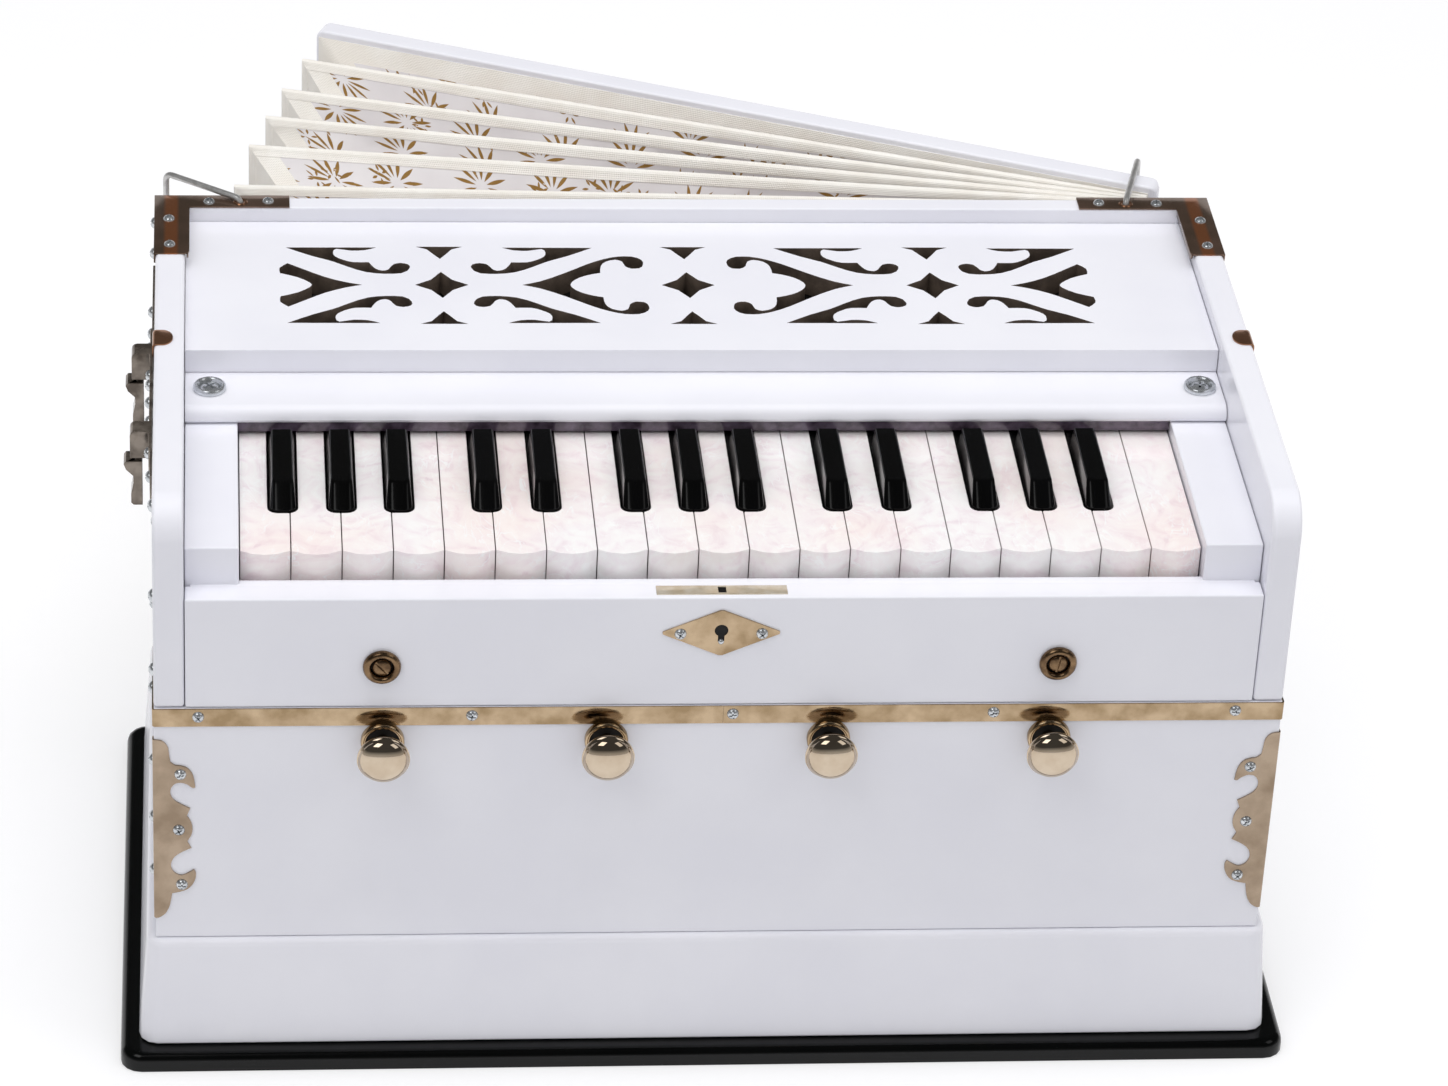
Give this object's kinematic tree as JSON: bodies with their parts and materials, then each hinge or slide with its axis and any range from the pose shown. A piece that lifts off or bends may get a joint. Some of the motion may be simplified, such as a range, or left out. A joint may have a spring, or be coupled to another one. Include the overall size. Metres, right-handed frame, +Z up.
{
  "type": "indian harmonium",
  "caption": "Portable Indian harmonium with a short keyboard, a fretwork top, draw stops and hand-pumped bellows that fan open at the back.",
  "frame": {"origin": "centre of the underside of the base board", "axes": "+X to the player's right, +Y from the player to the bellows, +Z up"},
  "size_m": [0.5026, 0.4637, 0.2749],
  "materials": {
    "white_lacquer": "glossy white lacquer on wood",
    "black_gloss": "glossy black paint on wood",
    "pearl_celluloid": "pinkish mother-of-pearl celluloid",
    "black_key_gloss": "polished black",
    "warm_nickel": "polished nickel with a warm tint",
    "dark_bronze_plate": "dark polished plate",
    "bright_steel": "bright plated screws",
    "antique_brass": "antique brass cup washers",
    "bellows_cloth": "cream cloth binding",
    "bellows_paper": "pale printed paper on card",
    "bellows_leather": "natural leather",
    "teak": "bare dark wood"
  },
  "bodies": {
    "case": {"base_board": "black_gloss", "plinth": "white_lacquer", "lower_case": "white_lacquer", "reed_board": "teak", "reservoir": "bellows_leather", "wind_trunk": "white_lacquer", "left_cheek": "white_lacquer", "right_cheek": "white_lacquer", "front_panel": "white_lacquer", "back_panel": "white_lacquer", "key_frame": "white_lacquer", "key_rail": "white_lacquer", "grille_board": "white_lacquer", "catch_plate": "warm_nickel"},
    "key_white_01": {"key_white_01": "pearl_celluloid"},
    "key_white_02": {"key_white_02": "pearl_celluloid"},
    "key_white_03": {"key_white_03": "pearl_celluloid"},
    "key_white_04": {"key_white_04": "pearl_celluloid"},
    "key_white_05": {"key_white_05": "pearl_celluloid"},
    "key_white_06": {"key_white_06": "pearl_celluloid"},
    "key_white_07": {"key_white_07": "pearl_celluloid"},
    "key_white_08": {"key_white_08": "pearl_celluloid"},
    "key_white_09": {"key_white_09": "pearl_celluloid"},
    "key_white_10": {"key_white_10": "pearl_celluloid"},
    "key_white_11": {"key_white_11": "pearl_celluloid"},
    "key_white_12": {"key_white_12": "pearl_celluloid"},
    "key_white_13": {"key_white_13": "pearl_celluloid"},
    "key_white_14": {"key_white_14": "pearl_celluloid"},
    "key_white_15": {"key_white_15": "pearl_celluloid"},
    "key_white_16": {"key_white_16": "pearl_celluloid"},
    "key_white_17": {"key_white_17": "pearl_celluloid"},
    "key_white_18": {"key_white_18": "pearl_celluloid"},
    "key_white_19": {"key_white_19": "pearl_celluloid"},
    "key_black_01": {"key_black_01": "black_key_gloss"},
    "key_black_02": {"key_black_02": "black_key_gloss"},
    "key_black_03": {"key_black_03": "black_key_gloss"},
    "key_black_04": {"key_black_04": "black_key_gloss"},
    "key_black_05": {"key_black_05": "black_key_gloss"},
    "key_black_06": {"key_black_06": "black_key_gloss"},
    "key_black_07": {"key_black_07": "black_key_gloss"},
    "key_black_08": {"key_black_08": "black_key_gloss"},
    "key_black_09": {"key_black_09": "black_key_gloss"},
    "key_black_10": {"key_black_10": "black_key_gloss"},
    "key_black_11": {"key_black_11": "black_key_gloss"},
    "key_black_12": {"key_black_12": "black_key_gloss"},
    "key_black_13": {"key_black_13": "black_key_gloss"},
    "stop_knob_1": {"stop_knob_1": "warm_nickel"},
    "stop_knob_2": {"stop_knob_2": "warm_nickel"},
    "stop_knob_3": {"stop_knob_3": "warm_nickel"},
    "stop_knob_4": {"stop_knob_4": "warm_nickel"},
    "bellows_fold_1": {"bellows_fold_1": "bellows_cloth"},
    "bellows_fold_2": {"bellows_fold_2": "bellows_cloth"},
    "bellows_fold_3": {"bellows_fold_3": "bellows_cloth"},
    "bellows_fold_4": {"bellows_fold_4": "bellows_cloth"},
    "bellows_fold_5": {"bellows_fold_5": "bellows_cloth"},
    "bellows_board": {"bellows_board": "white_lacquer"},
    "bail_left": {"bail_left": "warm_nickel"},
    "bail_right": {"bail_right": "warm_nickel"},
    "catch_lever_1": {"catch_lever_1": "warm_nickel"},
    "catch_lever_2": {"catch_lever_2": "warm_nickel"}
  },
  "joints": [
    {"name": "press_white_01", "type": "hinge", "parent": "case", "child": "key_white_01", "pos_m": [0, 0.1192, 0.224], "axis": [1, 0, 0], "range_deg": [0, 1.6], "stiffness_Nm_per_rad": 1.2, "springref_deg": -9.17},
    {"name": "press_white_02", "type": "hinge", "parent": "case", "child": "key_white_02", "pos_m": [0, 0.1192, 0.224], "axis": [1, 0, 0], "range_deg": [0, 1.6], "stiffness_Nm_per_rad": 1.2, "springref_deg": -9.17},
    {"name": "press_white_03", "type": "hinge", "parent": "case", "child": "key_white_03", "pos_m": [0, 0.1192, 0.224], "axis": [1, 0, 0], "range_deg": [0, 1.6], "stiffness_Nm_per_rad": 1.2, "springref_deg": -9.17},
    {"name": "press_white_04", "type": "hinge", "parent": "case", "child": "key_white_04", "pos_m": [0, 0.1192, 0.224], "axis": [1, 0, 0], "range_deg": [0, 1.6], "stiffness_Nm_per_rad": 1.2, "springref_deg": -9.17},
    {"name": "press_white_05", "type": "hinge", "parent": "case", "child": "key_white_05", "pos_m": [0, 0.1192, 0.224], "axis": [1, 0, 0], "range_deg": [0, 1.6], "stiffness_Nm_per_rad": 1.2, "springref_deg": -9.17},
    {"name": "press_white_06", "type": "hinge", "parent": "case", "child": "key_white_06", "pos_m": [0, 0.1192, 0.224], "axis": [1, 0, 0], "range_deg": [0, 1.6], "stiffness_Nm_per_rad": 1.2, "springref_deg": -9.17},
    {"name": "press_white_07", "type": "hinge", "parent": "case", "child": "key_white_07", "pos_m": [0, 0.1192, 0.224], "axis": [1, 0, 0], "range_deg": [0, 1.6], "stiffness_Nm_per_rad": 1.2, "springref_deg": -9.17},
    {"name": "press_white_08", "type": "hinge", "parent": "case", "child": "key_white_08", "pos_m": [0, 0.1192, 0.224], "axis": [1, 0, 0], "range_deg": [0, 1.6], "stiffness_Nm_per_rad": 1.2, "springref_deg": -9.17},
    {"name": "press_white_09", "type": "hinge", "parent": "case", "child": "key_white_09", "pos_m": [0, 0.1192, 0.224], "axis": [1, 0, 0], "range_deg": [0, 1.6], "stiffness_Nm_per_rad": 1.2, "springref_deg": -9.17},
    {"name": "press_white_10", "type": "hinge", "parent": "case", "child": "key_white_10", "pos_m": [0, 0.1192, 0.224], "axis": [1, 0, 0], "range_deg": [0, 1.6], "stiffness_Nm_per_rad": 1.2, "springref_deg": -9.17},
    {"name": "press_white_11", "type": "hinge", "parent": "case", "child": "key_white_11", "pos_m": [0, 0.1192, 0.224], "axis": [1, 0, 0], "range_deg": [0, 1.6], "stiffness_Nm_per_rad": 1.2, "springref_deg": -9.17},
    {"name": "press_white_12", "type": "hinge", "parent": "case", "child": "key_white_12", "pos_m": [0, 0.1192, 0.224], "axis": [1, 0, 0], "range_deg": [0, 1.6], "stiffness_Nm_per_rad": 1.2, "springref_deg": -9.17},
    {"name": "press_white_13", "type": "hinge", "parent": "case", "child": "key_white_13", "pos_m": [0, 0.1192, 0.224], "axis": [1, 0, 0], "range_deg": [0, 1.6], "stiffness_Nm_per_rad": 1.2, "springref_deg": -9.17},
    {"name": "press_white_14", "type": "hinge", "parent": "case", "child": "key_white_14", "pos_m": [0, 0.1192, 0.224], "axis": [1, 0, 0], "range_deg": [0, 1.6], "stiffness_Nm_per_rad": 1.2, "springref_deg": -9.17},
    {"name": "press_white_15", "type": "hinge", "parent": "case", "child": "key_white_15", "pos_m": [0, 0.1192, 0.224], "axis": [1, 0, 0], "range_deg": [0, 1.6], "stiffness_Nm_per_rad": 1.2, "springref_deg": -9.17},
    {"name": "press_white_16", "type": "hinge", "parent": "case", "child": "key_white_16", "pos_m": [0, 0.1192, 0.224], "axis": [1, 0, 0], "range_deg": [0, 1.6], "stiffness_Nm_per_rad": 1.2, "springref_deg": -9.17},
    {"name": "press_white_17", "type": "hinge", "parent": "case", "child": "key_white_17", "pos_m": [0, 0.1192, 0.224], "axis": [1, 0, 0], "range_deg": [0, 1.6], "stiffness_Nm_per_rad": 1.2, "springref_deg": -9.17},
    {"name": "press_white_18", "type": "hinge", "parent": "case", "child": "key_white_18", "pos_m": [0, 0.1192, 0.224], "axis": [1, 0, 0], "range_deg": [0, 1.6], "stiffness_Nm_per_rad": 1.2, "springref_deg": -9.17},
    {"name": "press_white_19", "type": "hinge", "parent": "case", "child": "key_white_19", "pos_m": [0, 0.1192, 0.224], "axis": [1, 0, 0], "range_deg": [0, 1.6], "stiffness_Nm_per_rad": 1.2, "springref_deg": -9.17},
    {"name": "press_black_01", "type": "hinge", "parent": "case", "child": "key_black_01", "pos_m": [0, 0.1192, 0.224], "axis": [1, 0, 0], "range_deg": [0, 1.6], "stiffness_Nm_per_rad": 1.2, "springref_deg": -9.17},
    {"name": "press_black_02", "type": "hinge", "parent": "case", "child": "key_black_02", "pos_m": [0, 0.1192, 0.224], "axis": [1, 0, 0], "range_deg": [0, 1.6], "stiffness_Nm_per_rad": 1.2, "springref_deg": -9.17},
    {"name": "press_black_03", "type": "hinge", "parent": "case", "child": "key_black_03", "pos_m": [0, 0.1192, 0.224], "axis": [1, 0, 0], "range_deg": [0, 1.6], "stiffness_Nm_per_rad": 1.2, "springref_deg": -9.17},
    {"name": "press_black_04", "type": "hinge", "parent": "case", "child": "key_black_04", "pos_m": [0, 0.1192, 0.224], "axis": [1, 0, 0], "range_deg": [0, 1.6], "stiffness_Nm_per_rad": 1.2, "springref_deg": -9.17},
    {"name": "press_black_05", "type": "hinge", "parent": "case", "child": "key_black_05", "pos_m": [0, 0.1192, 0.224], "axis": [1, 0, 0], "range_deg": [0, 1.6], "stiffness_Nm_per_rad": 1.2, "springref_deg": -9.17},
    {"name": "press_black_06", "type": "hinge", "parent": "case", "child": "key_black_06", "pos_m": [0, 0.1192, 0.224], "axis": [1, 0, 0], "range_deg": [0, 1.6], "stiffness_Nm_per_rad": 1.2, "springref_deg": -9.17},
    {"name": "press_black_07", "type": "hinge", "parent": "case", "child": "key_black_07", "pos_m": [0, 0.1192, 0.224], "axis": [1, 0, 0], "range_deg": [0, 1.6], "stiffness_Nm_per_rad": 1.2, "springref_deg": -9.17},
    {"name": "press_black_08", "type": "hinge", "parent": "case", "child": "key_black_08", "pos_m": [0, 0.1192, 0.224], "axis": [1, 0, 0], "range_deg": [0, 1.6], "stiffness_Nm_per_rad": 1.2, "springref_deg": -9.17},
    {"name": "press_black_09", "type": "hinge", "parent": "case", "child": "key_black_09", "pos_m": [0, 0.1192, 0.224], "axis": [1, 0, 0], "range_deg": [0, 1.6], "stiffness_Nm_per_rad": 1.2, "springref_deg": -9.17},
    {"name": "press_black_10", "type": "hinge", "parent": "case", "child": "key_black_10", "pos_m": [0, 0.1192, 0.224], "axis": [1, 0, 0], "range_deg": [0, 1.6], "stiffness_Nm_per_rad": 1.2, "springref_deg": -9.17},
    {"name": "press_black_11", "type": "hinge", "parent": "case", "child": "key_black_11", "pos_m": [0, 0.1192, 0.224], "axis": [1, 0, 0], "range_deg": [0, 1.6], "stiffness_Nm_per_rad": 1.2, "springref_deg": -9.17},
    {"name": "press_black_12", "type": "hinge", "parent": "case", "child": "key_black_12", "pos_m": [0, 0.1192, 0.224], "axis": [1, 0, 0], "range_deg": [0, 1.6], "stiffness_Nm_per_rad": 1.2, "springref_deg": -9.17},
    {"name": "press_black_13", "type": "hinge", "parent": "case", "child": "key_black_13", "pos_m": [0, 0.1192, 0.224], "axis": [1, 0, 0], "range_deg": [0, 1.6], "stiffness_Nm_per_rad": 1.2, "springref_deg": -9.17},
    {"name": "draw_stop_1", "type": "slide", "parent": "case", "child": "stop_knob_1", "axis": [0, -1, 0], "range_m": [0, 0.025]},
    {"name": "draw_stop_2", "type": "slide", "parent": "case", "child": "stop_knob_2", "axis": [0, -1, 0], "range_m": [0, 0.025]},
    {"name": "draw_stop_3", "type": "slide", "parent": "case", "child": "stop_knob_3", "axis": [0, -1, 0], "range_m": [0, 0.025]},
    {"name": "draw_stop_4", "type": "slide", "parent": "case", "child": "stop_knob_4", "axis": [0, -1, 0], "range_m": [0, 0.025]},
    {"name": "bellows_swing", "type": "hinge", "parent": "case", "child": "bellows_board", "pos_m": [0.2133, 0.1657, 0.184], "axis": [0, 0, 1], "range_deg": [0, 22.4]},
    {"name": "fold_swing_1", "type": "hinge", "parent": "case", "child": "bellows_fold_1", "pos_m": [0.2133, 0.1657, 0.184], "axis": [0, 0, 1], "range_deg": [0, 2.23], "deforming": ["bellows_fold_1"]},
    {"name": "fold_swing_2", "type": "hinge", "parent": "case", "child": "bellows_fold_2", "pos_m": [0.2133, 0.1657, 0.184], "axis": [0, 0, 1], "range_deg": [0, 7.37], "deforming": ["bellows_fold_2"]},
    {"name": "fold_swing_3", "type": "hinge", "parent": "case", "child": "bellows_fold_3", "pos_m": [0.2133, 0.1657, 0.184], "axis": [0, 0, 1], "range_deg": [0, 11.23], "deforming": ["bellows_fold_3"]},
    {"name": "fold_swing_4", "type": "hinge", "parent": "case", "child": "bellows_fold_4", "pos_m": [0.2133, 0.1657, 0.184], "axis": [0, 0, 1], "range_deg": [0, 14.97], "deforming": ["bellows_fold_4"]},
    {"name": "fold_swing_5", "type": "hinge", "parent": "case", "child": "bellows_fold_5", "pos_m": [0.2133, 0.1657, 0.184], "axis": [0, 0, 1], "range_deg": [0, 19.22], "deforming": ["bellows_fold_5"]},
    {"name": "bail_left_swing", "type": "hinge", "parent": "case", "child": "bail_left", "pos_m": [-0.1987, 0.1487, 0.2726], "axis": [0, 0, 1], "range_deg": [-72, 12]},
    {"name": "bail_right_swing", "type": "hinge", "parent": "case", "child": "bail_right", "pos_m": [0.1987, 0.1487, 0.2726], "axis": [0, 0, 1], "range_deg": [-52, 0]},
    {"name": "catch_lift_1", "type": "hinge", "parent": "case", "child": "catch_lever_1", "pos_m": [-0.242, 0.0282, 0.2576], "axis": [0, 1, 0], "range_deg": [0, 95]},
    {"name": "catch_lift_2", "type": "hinge", "parent": "case", "child": "catch_lever_2", "pos_m": [-0.242, -0.0368, 0.2576], "axis": [0, 1, 0], "range_deg": [0, 95]}
  ],
  "couplings": [
    {"joint": "fold_swing_1", "follows": "bellows_swing", "ratio": 0.0975},
    {"joint": "fold_swing_2", "follows": "bellows_swing", "ratio": 0.327},
    {"joint": "fold_swing_3", "follows": "bellows_swing", "ratio": 0.499},
    {"joint": "fold_swing_4", "follows": "bellows_swing", "ratio": 0.666},
    {"joint": "fold_swing_5", "follows": "bellows_swing", "ratio": 0.856}
  ]
}
